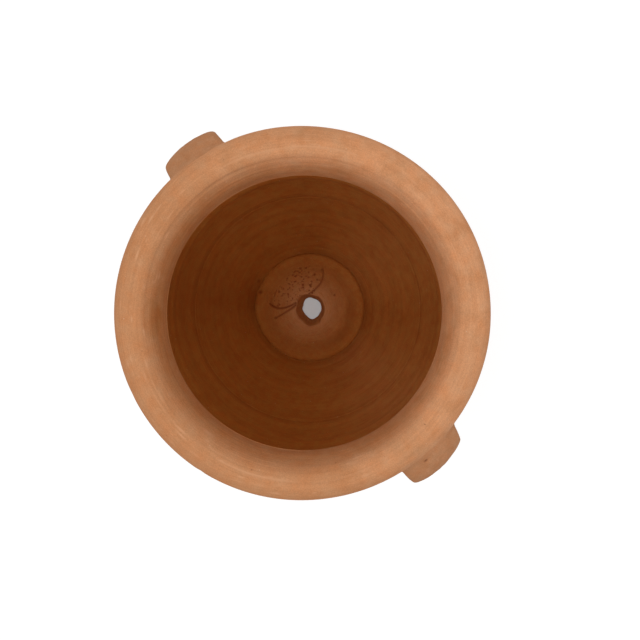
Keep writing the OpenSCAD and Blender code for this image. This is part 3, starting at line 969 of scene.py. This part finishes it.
def make_handle(name, node, angle, seed, cut, fillets, nicks=()):
    """Handle: each line along the strap runs from where it leaves the rim to where it enters the
    wall, both found on a fine scale, and near both ends the skin turns out in a round fillet, of the
    first size at the upper root, the sum of the first two on its outer face, and the third size at
    the lower root. The grid is closer at the strap's edges and roots. The strap is painted darker
    than the pot, less so at its roots: partly painted shade for the strap below the rim, partly a
    darker clay. A nick is a dark Gaussian dent, from its distance from the axis, its place across the
    strap, and its half sizes."""
    shape = (170, 160)
    turn = round_the_wheel(shape[1])
    turn = turn + 0.3 * np.sin(2 * turn)
    scale = np.linspace(-1, 1, 801)[:, None]
    clear = gap_to_pot(strap_point(scale, turn, **cut)) > -sunk
    start = scale[np.argmax(clear, axis=0), 0]
    end = scale[len(scale) - 1 - np.argmax(clear[::-1], axis=0), 0]
    share = np.linspace(0, 1, shape[0])[:, None]
    share = share - 0.8 * np.sin(TAU * share) / TAU
    grid = strap_point(start + (end - start) * share, turn, **cut)
    gap = gap_to_pot(grid)
    down = np.gradient(grid, axis=0)
    across = np.roll(grid, -1, axis=1) - np.roll(grid, 1, axis=1)
    normal = np.cross(across, down)
    normal = normal / np.linalg.norm(normal, axis=-1, keepdims=True)
    upper = fillets[0] + fillets[1] * smooth((np.sin(turn) - 0.6) / 0.4)
    fillet = upper + (fillets[2] - upper) * smooth((share - 0.3) / 0.4)
    reach = np.clip(fillet - gap, 0, fillet)
    push = fillet - np.sqrt(fillet ** 2 - reach ** 2)
    pulled = 0.06 * uneven(shape, 60, 4, seed) + 0.12 * uneven(shape, 22, 14, seed + 1)
    grid = grid + normal * (push + pulled - 0.3)[..., None]
    lower = smooth((share - 0.5) / 0.3)
    kept = 0.55 - 0.5 * lower
    # Painted shade and darker clay over the strap, less at its roots.
    dark = strap_shade * (kept + (1 - kept) * smooth(gap / (3 + 4 * lower)))
    for nick_out, nick_side, half_out, half_side in nicks:
        away = np.hypot((grid[..., 0] - nick_out) / half_out,
                        (grid[..., 1] - nick_side) / half_side)
        nick = groove(away, 1, 1) * (normal[..., 2] > 0.2)
        grid = grid - normal * (nick_depth * nick)[..., None]
        dark = np.maximum(dark, 0.8 * nick)
    radius = np.hypot(grid[..., 0], grid[..., 1])
    correction = 1 - np.where(gap < fillet, gap_to_pot(grid) - gap, 0) / radius
    grid[..., :2] *= correction[..., None]
    cos, sin = math.cos(angle), math.sin(angle)
    x = grid[..., 0] * cos - grid[..., 1] * sin
    y = grid[..., 0] * sin + grid[..., 1] * cos
    grid = settle(np.stack([x, y, grid[..., 2]], -1))
    rubbed = smooth((uneven(shape, 9, 2, seed + 2) - 1.5) / 0.8)
    masks = {"inside": 0.0, "dark": dark, "pale": 0.6 * rubbed}
    clay = fired_clay(node + "_clay", seed * 0.7, patch=12.0, streak=0.25)
    put_skin(name, grid, node, clay, masks, wraps=False)


east_cut = dict(half_width=25.6, powers=(6.0, 4.8), top_flares=(-1.8, 7.6), short=0.0, lean=0.9)
west_cut = dict(half_width=24.0, powers=(5.4, 6.5), top_flares=(3.0, 0.8), short=2.5, lean=0.6)
make_handle("pulled_handle_east", "handle_east", math.radians(3.85), 51, east_cut,
            fillets=(4.0, 0.5, 6.0), nicks=[(144.6, -5.0, 1.3, 2.0)])
make_handle("pulled_handle_west", "handle_west", math.radians(175.9), 61, west_cut,
            fillets=(3.8, 3.0, 5.0))


# Studio: a pale floor that takes the pot's soft shadow, an even white surround, one large soft
# lamp high on one side, and the camera that looks almost straight down into the pot.

surround = 0.86
zenith_gain = 1.0
lamp_power = 5.6
lamp_size = 1.6
lamp_place = (-0.467, -0.587, 2.3)
ground_half = 6.0
floor_pale = 0.5
seen_bare = 0.62
seen_under = 0.175
under_r = 0.075
open_r = 0.15


def camera_sees(tree):
    """1 for rays that a viewer sees directly, by reflection or through glass; 0 for light."""
    path = put(tree, "LightPath").outputs
    seen = sum_up(tree, "MAXIMUM", path["Is Camera Ray"], path["Is Glossy Ray"])
    return sum_up(tree, "MAXIMUM", seen, path["Is Transmission Ray"])


def make_floor():
    """Pale ground sheet. What is seen of it is lifted to white, less so in the pot's own shade
    under the foot."""
    mesh = bpy.data.meshes.new("studio_floor")
    corners = [(x * ground_half, y * ground_half, 0) for x, y in ((-1, -1), (1, -1), (1, 1), (-1, 1))]
    mesh.from_pydata(corners, [], [(0, 1, 2, 3)])
    floor = bpy.data.objects.new("studio_floor", mesh)
    bpy.context.scene.collection.objects.link(floor)
    material = bpy.data.materials.new("studio_floor_paint")
    material.use_nodes = True
    tree = material.node_tree
    tree.nodes.clear()
    place = put(tree, "TexCoord").outputs["Object"]
    away = put(tree, "VectorMath", {0: place}, operation="LENGTH").outputs["Value"]
    lift = between(tree, away, under_r, open_r, seen_under, seen_bare)
    glow = put(tree, "Emission", {"Strength": sum_up(tree, "MULTIPLY", lift, camera_sees(tree))})
    paint = put(tree, "BsdfDiffuse", {"Color": (floor_pale,) * 3})
    both = put(tree, "AddShader", {0: glow.outputs[0], 1: paint.outputs[0]})
    put(tree, "OutputMaterial", {"Surface": both.outputs[0]})
    mesh.materials.append(material)


def make_surround():
    """White surround, brightest overhead and falling off towards the horizon, so that level
    clay gets the strength surround. Where it is seen it is plain white."""
    world = bpy.data.worlds.new("studio_surround")
    bpy.context.scene.world = world
    world.use_nodes = True
    tree = world.node_tree
    tree.nodes.clear()
    direction = put(tree, "TexCoord").outputs["Generated"]
    up = put(tree, "SeparateXYZ", {0: direction}).outputs[2]
    overhead = sum_up(tree, "MULTIPLY_ADD", sum_up(tree, "MAXIMUM", up, 0.0), zenith_gain, 1.0)
    lit = sum_up(tree, "MULTIPLY", overhead, surround / (1 + zenith_gain * 2 / 3))
    strength = put(tree, "Mix", {0: camera_sees(tree), 2: lit, 3: 1.0}).outputs[0]
    light = put(tree, "Background", {"Color": (1, 1, 1), "Strength": strength})
    put(tree, "OutputWorld", {"Surface": light.outputs[0]})


def make_lamp():
    """Large soft lamp, aimed at the mouth of the pot."""
    data = bpy.data.lights.new("soft_lamp", "AREA")
    data.energy = lamp_power
    data.size = lamp_size
    lamp = bpy.data.objects.new("soft_lamp", data)
    lamp.location = lamp_place
    aim = Vector((0, 0, pot_h * MM)) - Vector(lamp_place)
    lamp.rotation_euler = aim.to_track_quat("-Z", "Y").to_euler()
    bpy.context.scene.collection.objects.link(lamp)


camera_place = (-0.0021, 0.0261, 0.7096)
camera_turn = math.radians(51.5)
picture_half = 320
focal = 640
straight_down = (327.6, 291.1)


def make_camera():
    """Camera: its lens has the picture's half width at half its focal length. It is tilted so that
    the point right below it falls on the pixel straight_down, then turned about the upright."""
    data = bpy.data.cameras.new("camera")
    data.sensor_width = 36
    data.lens = data.sensor_width * focal / (2 * picture_half)
    data.clip_start = 0.01
    down = Vector((straight_down[0] - picture_half, picture_half - straight_down[1], -focal))
    tilt = down.rotation_difference(Vector((0, 0, -1))).to_matrix()
    turn = Matrix.Rotation(camera_turn, 3, "Z")
    camera = bpy.data.objects.new("camera", data)
    camera.matrix_world = Matrix.Translation(camera_place) @ (turn @ tilt).to_4x4()
    bpy.context.scene.collection.objects.link(camera)
    bpy.context.scene.camera = camera


make_floor()
make_surround()
make_lamp()
make_camera()
bpy.context.scene.view_settings.view_transform = "Standard"
